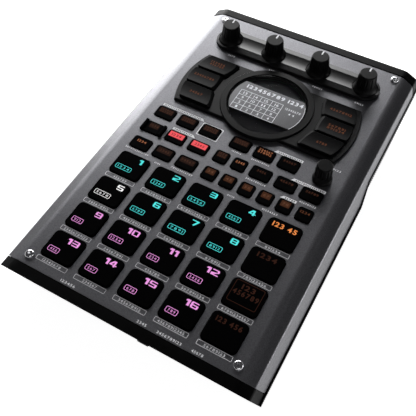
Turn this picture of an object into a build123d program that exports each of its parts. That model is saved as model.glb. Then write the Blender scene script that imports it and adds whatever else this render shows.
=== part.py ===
from build123d import *
import math
import os

# A table-top sampler and drum machine: a folded metal faceplate over a black two-part case,
# rubber pads and keys that travel through the faceplate, a round display between six effect
# keys, four control knobs on a raised plinth, and jacks on the front and rear panels.
#
# Two frames are used. The table frame has +X to the right, +Y to the rear, +Z up and its
# origin on the table under the middle of the machine. The plate frame is tilted up to the
# rear: its origin lies on the faceplate's top surface midway between the two front screws,
# x runs right, y runs to the rear along the plate and z stands off the plate.
# All sizes are in millimetres and degrees.

# ------------------------------------------------------------------ driving dimensions
inner_height = 25.7            # case floor to the underside of the deck, at the front screws
plate_tilt = 4.6               # faceplate slope, low at the front

# faceplate: a folded sheet with bevelled shoulders and side flanges
sheet = 1.5
plate_margin = 9.2             # pads to the bevelled shoulder
bevel_width = 8.45             # the bevel, from the flat middle to the flange
shoulder_drop = 4.0
flange_lean = 20.0             # flanges spread outwards as they go down
shoulder_radius = 2.6
bend_radius = 9.0
flange_depth_front = 15.5
flange_depth_rear = 10.5
flange_corner = 2.5            # rounds the flanges' lower corners
kink_front_reach = 35.9        # the flange's lower edge steps up between these two stations,
kink_rear_reach = 18.9         # both told forwards from the display's centre
plate_front = -6.4
plate_behind_plinth = 14.7     # plinth to the faceplate's rear edge

# case
lip_front = 13.9               # front screws to the front edge of the lip
front_lean = 17.0              # the front face and both ends of the faceplate lean inwards
rear_strip = 7.9               # faceplate to the rear edge
rear_gap = 1.4                 # shadow gap behind the faceplate
front_wall = 4.5
rear_wall = 2.6
case_wall = 3.2
case_floor = 2.6
split_gap = 0.3
rim_reach_front = 1.16         # the black rim stands out past the flanges by this
rim_reach_rear = 0.78
rim_bottom = 19.4              # depth of the lower edge of the black rim below the plate
side_lean = 12.0               # sides of the lower case lean in under the rim
deck_gap = 0.15                # sheet to the case deck under it
foot_height = 3.0
foot_radius = 8.0
foot_recess = 1.0              # depth of the feet's seats in the floor
foot_inset_x = 60.0
foot_front_y = 26.0            # plate station of the front feet
foot_behind_knobs = 3.0

# screws
screw_side_inset = 5.0         # from the edge of the flat middle
screw_rear_inset = 5.6         # from the faceplate's rear edge
screw_head_radius = 2.85       # M3 button heads
screw_head_height = 1.65
screw_socket_depth = 1.0
screw_radius = 1.5
screw_length = 8.0
hex_socket = 2.0               # across flats of the hexagon socket
screw_boss_radius = 3.4
screw_boss_depth = 5.5
screw_clearance = 0.15
case_column_inset = 3.0        # from the edge of the flat middle
case_column_front_y = 16.0
case_column_reach = 29.9       # middle columns to the display's centre
case_column_behind_knobs = 14.0
case_column_radius = 4.2
case_screw_head_radius = 3.0
case_screw_head_height = 2.0
case_screw_length = 14.0
floor_boss_height = 5.0

# boards
board_thickness = 1.6
board_post_x = 50.0
board_post_front_y = 50.0
board_post_before_knobs = 25.0
board_post_radius = 3.0
board_post_height = 5.0
main_board_half = 62.0
main_board_front = 20.0
main_board_before_knobs = 3.0

# pads and keys
pad_pitch_x = 27.4
pad_pitch_y = 23.9
pad_columns = 5
pad_rows = 4
pad_first_y = 13.05            # centre of the front row
pad_gap_x = 5.4                # between two pads
pad_gap_y = 4.8
pad_corner = 3.0
pad_top = 1.3
pad_chamfer = 0.6
key_clearance = 0.4            # round each pad and key in the faceplate
flange_margin = 1.3            # the retaining flange under the sheet is larger by this
flange_thickness = 1.2
flange_gap = 0.3               # flange to the sheet above it
pad_travel = 1.2
key_travel = 0.8
stop_gap = 0.3                 # left under a pad or key that is pressed right down
key_corner = 1.8
key_top = 0.9
key_wide = 14.0
key_narrow = 9.8
pads_to_keys = 19.95           # rear row of pads to the first row of keys
row_pitch_lower = 15.8
row_pitch_upper = 15.9
row_bottom_depth = 10.2
row_middle_depth = 9.8
row_top_depth = 10.2
wide_key_x = [-58.9, -41.1, -23.3]
narrow_key_start = -5.9
narrow_key_pitch = 13.4
narrow_key_count = 6
middle_right_x = [23.2, 41.1, 58.9]
guarded_key_width = 11.4       # the key between two guard rails, left in the middle row
guard_gap = 0.4                # key to rail
guard_rail = 2.0
guard_top = 2.1
guard_foot = 0.8               # the rail's foot reaches this far under the sheet
top_right_x = [0.2, 18.1, 35.9]
key_chamfer = 0.35
guard_chamfer = 0.4
field_margin = 1.0             # deck opening round a field of pads or keys

# effects panel and display
keys_to_ring = 2.1             # rear edge of the keys to the display ring
panel_radius = 66.0
panel_front_reach = 26.1       # display's centre to the panel's square ends
panel_rear_reach = 25.7
panel_top = 2.2
panel_wall = 2.0
panel_skirt = 1.6
panel_chamfer = 0.5
panel_clearance = 0.25
effect_outer_radius = 62.3
effect_inner_middle = 38.8
effect_inner_near = 37.3
effect_inner_far = 33.0
effect_row_edge = 8.0          # half height of the middle key, to the middle of the gap
effect_row_gap = 1.4
effect_row_end = 23.6
effect_clearance = 0.25        # round each effect key in its panel
effect_flange = 0.8            # the keys' flanges reach this far inwards and outwards
effect_top = 4.4
effect_bevel = 0.5             # round the top of each effect key
effect_slope_width = 2.4       # the long slope at the inner end
effect_slope_drop = 1.5
effect_dish_radius = 46.0
effect_dish_depth = 0.5
effect_travel = 1.0
effect_corner = 1.6
effect_plunger = 6.0
ring_radius = 33.3
ring_top = 3.2
ring_bevel = 0.4
ring_overhang = 0.4            # the ring hides the edge of its seat by this much
ring_sleeve_radius = 30.5
lens_radius = 28.7
lens_thickness = 1.2
lens_ledge = 1.5               # width of the ledge that carries the lens
lens_recess = 0.6              # below the top of the ring
lens_clearance = 0.1
screen_width = 52.0
screen_height = 29.0
screen_gap = 0.2               # under the lens
screen_thickness = 2.2

# control knobs on their plinth
ring_to_plinth = 3.9
knob_pitch = 36.2
knob_count = 4
knob_top = 16.3
knob_skirt_radius = 9.0
knob_skirt_height = 0.9
knob_waist_radius = 7.2
knob_cap_radius = 6.2
knob_edge = 0.6                # bevel round the top
knob_flutes = 12
flute_radius = 0.9
flute_cut = 0.45               # depth of each flute
flute_collar = 1.2             # plain collar left above the flutes
flare_share = 0.42             # the flare takes this share of a knob's height
plinth_width = 21.8
plinth_wall = 2.5              # height of the upright wall
plinth_height = 3.2            # height of the ridge each side of the channel
plinth_shoulder = 4.7          # from the wall up to the ridge
plinth_dish_radius = 24.0
plinth_ridge = 0.2
well_clearance = 0.5
well_floor = 1.0
knob_lift = 0.5                # knob skirt above the floor it turns on
shaft_radius = 3.0
shaft_clearance = 0.05
bushing_radius = 3.7
bushing_clearance = 0.2
pot_width = 11.0
pot_height = 6.5
shaft_grip = 9.5               # length of shaft inside the knob

# value knob
value_x = 59.6
value_offset = -0.2            # from the rear row of keys
value_top = 14.2
value_skirt_radius = 6.6
value_waist_radius = 5.7
value_cap_radius = 5.2

# front panel, in the frame of the leaning front face
front_window_inset = 16.8      # from the side of the rim
front_window_top = 8.5
front_sill = 2.3               # case floor to the window, along the face
panel_sheet = 2.0
panel_overlap = 1.0
panel_gap = 0.15
jack_bore_radius = 3.25        # 6.35 mm plug
jack_bushing_radius = 4.6
jack_nut_radius = 6.2
jack_nut_thickness = 1.8
jack_body_width = 14.0
jack_body_height = 10.0
jack_body_length = 20.0
jack_blind_wall = 1.5
jack_proud = 2.4               # bushing in front of the panel
mini_bore_radius = 1.8         # 3.5 mm plug
mini_bushing_radius = 2.9
mini_nut_radius = 4.0
mini_body_width = 8.0
mini_body_length = 13.0
front_axis_rise = 6.4          # lower edge of the window to the jack axes
phones_x = -52.0
mini_phones_x = -33.0
card_x = -11.0
card_width = 24.6
card_height = 2.6
card_depth = 18.0
gain_x = 12.4
gain_radius = 4.3
gain_length = 5.6
gain_shaft_radius = 1.6
switch_x = 29.4
switch_travel = 3.0
switch_lever_width = 2.6
switch_lever_height = 2.6
switch_lever_proud = 2.2
input_x = 47.0

# rear panel, in the frame of the upright rear face
rear_window_inset = 11.6
rear_window_top = 9.0
rear_sill = 6.9
rear_axis_rise = 15.0
line_jack_x = [-59.5, -43.0, -26.5, -10.0]
midi_jack_x = [6.0, 17.0]
usb_x = 30.0
usb_width = 9.0
usb_height = 3.3
dc_x = 44.0
dc_bore_radius = 3.0
dc_pin_radius = 1.0
power_x = 60.0
power_width = 12.0
power_height = 7.0
power_travel = 2.5
power_proud = 4.3              # button beyond the rear face
slide_gap = 0.3                # round the power button and the switch lever

# ------------------------------------------------------------------ derived stations
# across the faceplate: the middle is as wide as the pads with a margin each side
pad_width = pad_pitch_x - pad_gap_x
pad_depth = pad_pitch_y - pad_gap_y
flat_half = (pad_pitch_x * (pad_columns - 1) + pad_width) / 2 + plate_margin
shoulder_half = flat_half + bevel_width
screw_half_x = flat_half - screw_side_inset
case_column_x = flat_half - case_column_inset

# along the faceplate, from the front screws to the rear edge
row_bottom_y = pad_first_y + pad_pitch_y * (pad_rows - 1) + pads_to_keys
row_middle_y = row_bottom_y + row_pitch_lower
row_top_y = row_middle_y + row_pitch_upper
value_y = row_top_y + value_offset
display_y = row_top_y + row_top_depth / 2 + keys_to_ring + ring_radius
panel_front_y = display_y - panel_front_reach
panel_rear_y = display_y + panel_rear_reach
kink_front = display_y - kink_front_reach
kink_rear = display_y - kink_rear_reach
knob_y = display_y + ring_radius + ring_to_plinth + plinth_width / 2
plate_rear = knob_y + plinth_width / 2 + plate_behind_plinth
screw_span_y = plate_rear - screw_rear_inset
body_rear = plate_rear + rear_strip
body_length = lip_front + body_rear
foot_rear_y = knob_y + foot_behind_knobs
case_column_y = [case_column_front_y, display_y - case_column_reach,
                 knob_y + case_column_behind_knobs]
board_post_y = [board_post_front_y, knob_y - board_post_before_knobs]
main_board_rear = knob_y - main_board_before_knobs

# down from the faceplate's top surface, then up from the table
deck_top = -(sheet + deck_gap)
flange_top = -(sheet + flange_gap)
board_top = flange_top - flange_thickness - pad_travel - stop_gap
board_bottom = board_top - board_thickness
deck_inset = -board_top        # the board seats against the underside of the deck
floor_top = foot_height + case_floor
main_board_bottom = floor_top + board_post_height
plate_height = floor_top + inner_height + deck_inset
knob_rear_y = knob_y + knob_cap_radius - knob_edge
overall_height = (plate_height + knob_rear_y * math.sin(math.radians(plate_tilt))
                  + knob_top * math.cos(math.radians(plate_tilt)))
overall_length = body_length * math.cos(math.radians(plate_tilt)) + power_proud
plate_origin_y = lip_front * math.cos(math.radians(plate_tilt)) - overall_length / 2
plate_frame = Location((0, plate_origin_y, plate_height), (plate_tilt, 0, 0))
front_frame = Location((0, -lip_front, 0), (front_lean, 0, 0))
rear_frame = Location((0, body_rear, 0), (-plate_tilt, 0, 0))

# the black rim, the windows in its ends and the jack axes
flange_spread = math.tan(math.radians(flange_lean))
rim_half_front = (shoulder_half + (flange_depth_front - shoulder_drop) * flange_spread
                  + rim_reach_front)
rim_half_rear = (shoulder_half + (flange_depth_rear - shoulder_drop) * flange_spread
                 + rim_reach_rear)
front_window_half = rim_half_front - front_window_inset
rear_window_half = rim_half_rear - rear_window_inset
front_edge_height = plate_height - lip_front * math.sin(math.radians(plate_tilt))
rear_edge_height = plate_height + body_rear * math.sin(math.radians(plate_tilt))
front_window_bottom = ((front_edge_height - floor_top)
                       / math.cos(math.radians(front_lean + plate_tilt)) - front_sill)
rear_window_bottom = rear_edge_height - floor_top - rear_sill
front_axis_depth = front_window_bottom - front_axis_rise
rear_axis_depth = rear_window_bottom - rear_axis_rise
far = 400.0                    # longer than the machine, for cutting blocks


# ------------------------------------------------------------------ shared helpers
def inset_outline(points, inset):
    """Move an open outline inwards by inset; the outline runs left to right over the top."""
    normals = []
    for (x0, z0), (x1, z1) in zip(points, points[1:]):
        run = math.hypot(x1 - x0, z1 - z0)
        normals.append(((z0 - z1) / run, (x1 - x0) / run))
    moved = [(points[0][0] - inset * normals[0][0], points[0][1] - inset * normals[0][1])]
    for (x, z), (ax, az), (bx, bz) in zip(points[1:], normals, normals[1:]):
        scale = inset / (1 + ax * bx + az * bz)
        moved.append((x - scale * (ax + bx), z - scale * (az + bz)))
    moved.append((points[-1][0] - inset * normals[-1][0], points[-1][1] - inset * normals[-1][1]))
    return moved


def body_section(inset, depth):
    """Closed cross-section of the upper body in XZ, from the top down to depth."""
    foot_half = shoulder_half + (depth - shoulder_drop) * flange_spread
    half = [(flat_half, 0), (shoulder_half, -shoulder_drop), (foot_half, -depth)]
    outer = [(-x, z) for x, z in reversed(half)] + half
    points = inset_outline(outer, inset)
    shoulder = max(shoulder_radius - inset, 0.3)
    bend = max(bend_radius - inset, 0.3)
    top = FilletPolyline(*points, radius=[shoulder, bend, bend, shoulder])
    return Plane.XZ * make_face(top + Line(points[-1], points[0]))


def along_y(section, start, end):
    return Pos(0, start, 0) * extrude(section, amount=end - start, dir=(0, 1, 0))


def block(x0, x1, y0, y1, z0, z1):
    return Pos((x0 + x1) / 2, (y0 + y1) / 2, (z0 + z1) / 2) * Box(x1 - x0, y1 - y0, z1 - z0)


def rounded_block(x, y, width, depth, corner, z0, z1):
    return Pos(x, y, z0) * extrude(RectangleRounded(width, depth, corner), amount=z1 - z0)


def rod(x, y, radius, z0, z1):
    return Pos(x, y, (z0 + z1) / 2) * Cylinder(radius, z1 - z0)


def below_side_line(depth_front, depth_rear):
    """Everything below a side line that steps up from depth_front to depth_rear."""
    outline = Polyline(
        (-far, -depth_front), (kink_front, -depth_front), (kink_rear, -depth_rear),
        (far, -depth_rear), (far, -far), (-far, -far), close=True)
    return Pos(-far / 2, 0, 0) * extrude(Plane.YZ * make_face(outline), amount=far, dir=(1, 0, 0))


def plate_side_view(front_gap, rear_gap, front_depth, rear_depth, corner):
    """What the faceplate fills seen from the side: ends that lean inwards, moved outwards by
    a gap, over a lower edge with a step and with round corners."""
    lean = math.tan(math.radians(front_lean))
    rise = 2 * sheet
    front, rear = plate_front - front_gap, plate_rear + rear_gap
    view = make_face(Polyline(
        (front - lean * rise, rise), (rear + lean * rise, rise),
        (rear - lean * rear_depth, -rear_depth), (kink_rear, -rear_depth),
        (kink_front, -front_depth), (front + lean * front_depth, -front_depth), close=True))
    lower = view.vertices().sort_by(Axis.Y)[:4].sort_by(Axis.X)
    view = fillet([lower[0], lower[-1]], corner)
    return Pos(-far / 2, 0, 0) * extrude(Plane.YZ * view, amount=far, dir=(1, 0, 0))


def ahead_of_front(depth):
    """Everything in front of a plane that lies depth behind the leaning front face."""
    return front_frame * block(-far / 2, far / 2, -far, depth, -far, far)


def behind_rear(depth):
    """Everything behind a plane that lies depth inside the upright rear face."""
    return rear_frame * block(-far / 2, far / 2, -depth, far, -far, far)


def above_table(height):
    """Everything above a level height, told in the plate frame."""
    return plate_frame.inverse() * block(-far / 2, far / 2, -far, far, height, far)


def upright(x, y, radius, z0, z1):
    """A rod that stands upright on the table, under plate station y, told in the plate frame."""
    stand_y = plate_origin_y + y * math.cos(math.radians(plate_tilt))
    return plate_frame.inverse() * rod(x, stand_y, radius, z0, z1)


def group(*solids):
    return Compound(children=[s for s in solids])


nodes = {}


def keep(name, shape):
    """Store a sub-part that was modelled in the plate frame."""
    nodes[name] = plate_frame * shape


# ------------------------------------------------------------------ keys and pads layout
def pad_places():
    """Pad centres, left to right and then rear to front, with the last column apart."""
    first_x = -pad_pitch_x * (pad_columns - 1) / 2
    numbered, functions = [], []
    for row in reversed(range(pad_rows)):
        y = pad_first_y + pad_pitch_y * row
        numbered += [(first_x + pad_pitch_x * column, y) for column in range(pad_columns - 1)]
        functions.append((first_x + pad_pitch_x * (pad_columns - 1), y))
    return numbered, functions


numbered_pads, function_pads = pad_places()
narrow_key_x = [narrow_key_start + narrow_key_pitch * k for k in range(narrow_key_count)]

# each group of keys: (x, width) for each key, then the row's station and depth
key_groups = {
    "keys_top_left": ([(x, key_wide) for x in wide_key_x], row_top_y, row_top_depth),
    "keys_top_right": ([(x, key_wide) for x in top_right_x], row_top_y, row_top_depth),
    "keys_record": ([(x, key_wide) for x in wide_key_x[1:]], row_middle_y, row_middle_depth),
    "keys_middle_right": (
        [(x, key_narrow) for x in narrow_key_x[:2]] + [(x, key_wide) for x in middle_right_x],
        row_middle_y, row_middle_depth),
    "keys_bottom_left": ([(x, key_wide) for x in wide_key_x], row_bottom_y, row_bottom_depth),
    "keys_bottom_right": ([(x, key_narrow) for x in narrow_key_x], row_bottom_y, row_bottom_depth),
}


def flanged_cap(x, y, width, depth, corner, top, side_flange=flange_margin):
    """A pad or key with the flange that keeps it under the sheet."""
    cap = rounded_block(x, y, width, depth, corner, flange_top, top)
    flange = block(
        x - width / 2 - side_flange, x + width / 2 + side_flange,
        y - depth / 2 - flange_margin, y + depth / 2 + flange_margin,
        flange_top - flange_thickness, flange_top)
    return cap + flange


def pad_solid(x, y):
    pad = flanged_cap(x, y, pad_width, pad_depth, pad_corner, pad_top)
    return chamfer(pad.edges().group_by(Axis.Z)[-1], pad_chamfer)


def key_solid(x, y, width, depth, corner=key_corner, side_flange=flange_margin):
    key = flanged_cap(x, y, width, depth, corner, key_top, side_flange)
    return chamfer(key.edges().group_by(Axis.Z)[-1], key_chamfer)


def make_key_guard():
    """Two rails that stand on the board, one each side of the guarded key."""
    rails = []
    inner = guarded_key_width / 2 + guard_gap
    for side in (-1, 1):
        x0, x1 = sorted((side * inner, side * (inner + guard_rail)))
        f0, f1 = sorted((side * inner, side * (inner + guard_rail + guard_foot)))
        x, reach = wide_key_x[0], row_middle_depth / 2
        rail = block(x + x0, x + x1, row_middle_y - reach, row_middle_y + reach,
                     board_top, guard_top)
        rail = chamfer(rail.edges().group_by(Axis.Z)[-1], guard_chamfer)
        rail += block(x + f0, x + f1, row_middle_y - reach, row_middle_y + reach,
                      board_top, deck_top)
        rails.append(rail)
    return group(*rails)


def key_openings():
    """The faceplate's openings for every pad and key."""
    cuts = []
    reach = 2 * key_clearance
    for x, y in numbered_pads + function_pads:
        cuts.append(rounded_block(x, y, pad_width + reach, pad_depth + reach,
                                  pad_corner + key_clearance, -2 * sheet, sheet))
    for keys, y, depth in key_groups.values():
        for x, width in keys:
            cuts.append(rounded_block(x, y, width + reach, depth + reach,
                                      key_corner + key_clearance, -2 * sheet, sheet))
    guarded = guarded_key_width + 2 * (guard_gap + guard_rail + panel_clearance)
    cuts.append(rounded_block(wide_key_x[0], row_middle_y, guarded, row_middle_depth + reach,
                              2 * key_clearance, -2 * sheet, sheet))
    return cuts


# ------------------------------------------------------------------ effects panel outline
def effects_outline(margin):
    """A circle about the display, cut off square at the front and rear, with a round
    seat that carries the display ring past both cuts; the whole is grown by margin."""
    radius = panel_radius + margin
    ends = Rectangle(2 * radius, panel_rear_y - panel_front_y + 2 * margin)
    middle = (panel_rear_y + panel_front_y) / 2
    band = (Pos(0, display_y, 0) * Circle(radius)) & (Pos(0, middle, 0) * ends)
    return band + Pos(0, display_y, 0) * Circle(ring_radius - ring_overhang + margin)


def effect_key_face(row, wider, deeper):
    """Outline of a right-hand effect key about the display centre: row is 1, 0 or -1.
    It grows by wider along its row and by deeper across it."""
    outer = effect_outer_radius + wider
    if row:
        near = effect_row_edge + effect_row_gap / 2 - deeper
        far_edge = effect_row_end + deeper
        inner_near, inner_far = effect_inner_near - wider, effect_inner_far - wider
    else:
        far_edge = effect_row_edge - effect_row_gap / 2 + deeper
        near = -far_edge
        inner_near = inner_far = effect_inner_middle - wider
    sign = row if row else 1
    y0, y1 = sign * near, sign * far_edge
    x0, x1 = math.sqrt(outer**2 - y0**2), math.sqrt(outer**2 - y1**2)
    middle = (y0 + y1) / 2
    bulge = (math.sqrt(outer**2 - middle**2), middle)
    outline = Polyline((x0, y0), (inner_near, y0), (inner_far, y1), (x1, y1))
    return make_face(outline + ThreePointArc((x1, y1), bulge, (x0, y0)))


def effect_inner_slope(row):
    """What lies above the long slope at the inner end of a right-hand effect key."""
    turn, x, y = 0, effect_inner_middle, 0
    if row:
        y = row * (effect_row_edge + effect_row_gap / 2)
        run = effect_row_end - abs(y)
        turn = row * math.degrees(math.atan2(effect_inner_near - effect_inner_far, run))
        x = effect_inner_near
    fall = math.degrees(math.atan2(effect_slope_drop, effect_slope_width))
    return (Pos(x, y, effect_top - effect_slope_drop) * Rot(0, 0, turn) * Rot(0, -fall, 0)
            * block(-far / 2, far / 2, -far / 2, far / 2, 0, far))


def effect_key_solid(row, side):
    """One effect key: bevelled round its dished top, with a long slope at its inner end, its
    retaining flange and its plunger."""
    face = fillet(effect_key_face(row, 0, 0).vertices(), effect_corner)
    under = panel_top - panel_wall - flange_gap
    cap = extrude(Pos(0, 0, under) * face, amount=effect_top - under)
    centre = cap.bounding_box().center()
    cap = chamfer(cap.edges().group_by(Axis.Z)[-1], effect_bevel) - effect_inner_slope(row)
    dish = Pos(0, centre.Y, effect_top - effect_dish_depth + effect_dish_radius) * Rot(
        0, 90, 0) * Cylinder(effect_dish_radius, far)
    flange = extrude(Pos(0, 0, under) * effect_key_face(row, effect_flange, 0),
                     amount=-flange_thickness)
    plunger_bottom = board_top + effect_travel + stop_gap
    plunger = block(centre.X - effect_plunger / 2, centre.X + effect_plunger / 2,
                    centre.Y - effect_plunger / 2, centre.Y + effect_plunger / 2,
                    plunger_bottom, under - flange_thickness)
    key = (cap - dish) + flange + plunger
    if side < 0:
        key = mirror(key, about=Plane.YZ)
    return Pos(0, display_y, 0) * key


# ------------------------------------------------------------------ faceplate
def make_faceplate():
    depth = flange_depth_front + sheet
    skin = along_y(body_section(0, depth), plate_front, plate_rear)
    skin &= plate_side_view(0, 0, flange_depth_front, flange_depth_rear, flange_corner)
    hollow = along_y(body_section(sheet, depth + sheet), plate_front - sheet, plate_rear + sheet)
    cuts = [hollow] + key_openings()
    cuts.append(extrude(Pos(0, 0, -far / 2) * effects_outline(panel_clearance), amount=far))
    cuts.append(Pos(0, knob_y, -2 * sheet) * extrude(
        plinth_slot(-panel_clearance),
        amount=3 * sheet))
    cuts.append(rod(value_x, value_y, bushing_radius + bushing_clearance, -2 * sheet, sheet))
    for x in (-screw_half_x, screw_half_x):
        for y in (0, screw_span_y):
            cuts.append(rod(x, y, screw_radius + screw_clearance, -2 * sheet, sheet))
    return skin - cuts


# ------------------------------------------------------------------ upper case
def field_openings():
    """Openings in the deck for the pads, the keys, the effects panel and the knob shafts."""
    half_x = pad_pitch_x * (pad_columns - 1) / 2 + pad_width / 2 + flange_margin + field_margin
    reach_y = flange_margin + field_margin
    pads_front = pad_first_y - pad_depth / 2 - reach_y
    pads_rear = pad_first_y + pad_pitch_y * (pad_rows - 1) + pad_depth / 2 + reach_y
    keys_front = row_bottom_y - row_bottom_depth / 2 - reach_y
    keys_rear = row_top_y + row_top_depth / 2 + reach_y
    top, bottom = -sheet / 2, -deck_inset - sheet
    cuts = [
        block(-half_x, half_x, pads_front, pads_rear, bottom, top),
        block(-half_x, half_x, keys_front, keys_rear, bottom, top),
        Pos(0, 0, bottom) * extrude(effects_outline(-panel_skirt), amount=top - bottom),
    ]
    for x in knob_places():
        cuts.append(rod(x, knob_y, bushing_radius + bushing_clearance, bottom, top))
    return cuts


def make_upper_case():
    depth = flange_depth_front + split_gap
    ends = along_y(body_section(0, depth + sheet), -lip_front, body_rear + sheet)
    ends -= plate_side_view(split_gap, rear_gap, 2 * depth, 2 * depth, split_gap)
    body = along_y(body_section(sheet + deck_gap, depth + sheet), -lip_front, body_rear + sheet)
    body += ends
    hollow = along_y(body_section(deck_inset, depth + 2 * sheet), -far / 2, far)
    hollow -= [ahead_of_front(front_wall), behind_rear(rear_wall)]
    body -= hollow
    body -= [ahead_of_front(0), behind_rear(0)]
    body -= field_openings()
    body -= [front_window(), rear_window()]
    body -= below_side_line(depth, flange_depth_rear + split_gap)
    for x in (-screw_half_x, screw_half_x):
        for y in (0, screw_span_y):
            boss = rod(x, y, screw_boss_radius, -deck_inset - screw_boss_depth, deck_top)
            body += boss
            body -= rod(x, y, screw_radius, deck_top - screw_length, 0)
    for x in (-case_column_x, case_column_x):
        for y in case_column_y:
            column = upright(x, y, case_column_radius, floor_top + floor_boss_height,
                             column_top(y))
            body += column
            body -= upright(x, y, screw_radius, 0, floor_top + case_screw_length)
    return body


def column_top(y):
    """Height of the middle of the deck over plate station y."""
    return (plate_height + y * math.sin(math.radians(plate_tilt))
            - (deck_inset + sheet) / 2 * math.cos(math.radians(plate_tilt)))


def front_window():
    return front_frame * block(-front_window_half, front_window_half, -far, front_wall + 1,
                               -front_window_bottom, -front_window_top)


def rear_window():
    return rear_frame * block(-rear_window_half, rear_window_half, -rear_wall - 1, far,
                              -rear_window_bottom, -rear_window_top)


# ------------------------------------------------------------------ bottom case
def case_outline(depth, half_front, half_rear, inset):
    """Plan outline of the case at a depth below the plate, its sides drawn in by inset."""
    front = -lip_front + depth * math.tan(math.radians(front_lean))
    rear = body_rear - depth * math.tan(math.radians(plate_tilt))
    right = [(half_front - inset, front), (half_front - inset, kink_front),
             (half_rear - inset, kink_rear), (half_rear - inset, rear)]
    left = [(-x, y) for x, y in reversed(right)]
    return Pos(0, 0, -depth) * make_face(Polyline(*right, *left, close=True))


def case_block(inset):
    """The case as one block: an upright rim over sides that lean in, reaching below the table."""
    top = flange_depth_rear + split_gap
    bottom = rim_bottom + overall_height
    lean_in = (bottom - rim_bottom) * math.tan(math.radians(side_lean))
    rim = loft([case_outline(top, rim_half_front, rim_half_rear, inset),
                case_outline(rim_bottom, rim_half_front, rim_half_rear, inset)], ruled=True)
    hull = loft([case_outline(rim_bottom, rim_half_front, rim_half_rear, inset),
                 case_outline(bottom, rim_half_front - lean_in, rim_half_rear - lean_in, inset)],
                ruled=True)
    return rim + hull


def foot_places():
    return [(x, y) for x in (-foot_inset_x, foot_inset_x) for y in (foot_front_y, foot_rear_y)]


def make_bottom_case():
    below = below_side_line(flange_depth_front + split_gap, flange_depth_rear + split_gap)
    outer = case_block(0) & above_table(foot_height) & below
    hollow = case_block(case_wall) & above_table(floor_top)
    hollow -= [ahead_of_front(front_wall), behind_rear(rear_wall)]
    body = outer - hollow - [front_window(), rear_window()]
    for x in (-case_column_x, case_column_x):
        for y in case_column_y:
            body += upright(x, y, case_column_radius, floor_top, floor_top + floor_boss_height)
            body -= upright(x, y, screw_radius + screw_clearance, 0, far)
            body -= upright(x, y, case_screw_head_radius + screw_clearance, 0,
                            foot_height + case_screw_head_height + screw_clearance)
    for x in (-board_post_x, board_post_x):
        for y in board_post_y:
            body += upright(x, y, board_post_radius, floor_top, main_board_bottom)
    for x, y in foot_places():
        body -= upright(x, y, foot_radius + screw_clearance, 0, foot_height + foot_recess)
    return body


# ------------------------------------------------------------------ boards
def make_main_board():
    start = plate_origin_y + main_board_front * math.cos(math.radians(plate_tilt))
    end = plate_origin_y + main_board_rear * math.cos(math.radians(plate_tilt))
    return block(-main_board_half, main_board_half, start, end,
                 main_board_bottom, main_board_bottom + board_thickness)


def make_panel_board():
    """The board under the pads, keys and display, and the small board under the knobs."""
    edge = flat_half - 2.0
    board = block(-edge, edge, screw_boss_radius + key_clearance,
                  display_y + ring_radius + panel_skirt, board_bottom, board_top)
    for x in (-case_column_x, case_column_x):
        for y in case_column_y[:2]:
            board -= upright(x, y, case_column_radius + key_clearance, floor_top, far)
    board -= rod(value_x, value_y, bushing_radius + bushing_clearance,
                 board_bottom - 1, board_top + 1)
    knob_board = block(-knob_pitch * (knob_count - 1) / 2 - pot_width / 2,
                       knob_pitch * (knob_count - 1) / 2 + pot_width / 2,
                       knob_y - pot_width / 2, knob_y + pot_width / 2,
                       board_top - pot_height - board_thickness, board_top - pot_height)
    return group(board, knob_board)


# ------------------------------------------------------------------ knobs and their pots
def knob_places():
    return [knob_pitch * (k - (knob_count - 1) / 2) for k in range(knob_count)]


def knob_solid(skirt, waist, cap, bottom, top, flutes, bore_radius, bore_length):
    """A flared knob with a fluted side, standing on bottom."""
    rise = top - bottom
    skirt_top = bottom + knob_skirt_height
    flare_top = bottom + flare_share * rise
    profile = Polyline((0, bottom), (skirt, bottom), (skirt, skirt_top))
    flare = Spline((skirt, skirt_top), (waist, flare_top),
                   tangents=[(-1, 0.9), (-0.08, 1)])
    side = Polyline((waist, flare_top), (cap, top - knob_edge), (cap - knob_edge, top), (0, top),
                    (0, bottom))
    body = revolve(Plane.XZ * make_face(profile + flare + side), Axis.Z)
    taper = math.degrees(math.atan2(waist - cap, top - knob_edge - flare_top))
    groove = Pos(waist + flute_radius - flute_cut, 0, flare_top) * Rot(0, -taper, 0) * rod(
        0, 0, flute_radius, 0, top - flute_collar - flare_top)
    for k in range(flutes):
        body -= Rot(0, 0, 360 / flutes * (k + 0.5)) * groove
    return body - rod(0, 0, bore_radius, bottom - 1, bottom + bore_length)


def knob_with_shaft(x, y, skirt, waist, cap, bottom, top, shaft_bottom):
    body = knob_solid(skirt, waist, cap, bottom, top, knob_flutes,
                      shaft_radius + shaft_clearance / 2, shaft_grip)
    shaft = rod(0, 0, shaft_radius, shaft_bottom, bottom + shaft_grip - shaft_clearance)
    return Pos(x, y, 0) * group(body, shaft)


def pot_solid(x, y, body_top, bushing_top):
    body = block(x - pot_width / 2, x + pot_width / 2, y - pot_width / 2, y + pot_width / 2,
                 body_top - pot_height, body_top)
    body += rod(x, y, bushing_radius, body_top, bushing_top)
    return body - rod(x, y, shaft_radius + shaft_clearance, body_top - pot_height + 1, bushing_top)


def plinth_slot(inset):
    """Plan of the plinth, drawn in by inset; its round ends lie about the outer knobs."""
    width = plinth_width - 2 * inset
    return SlotOverall(knob_pitch * (knob_count - 1) + width, width)


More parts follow.
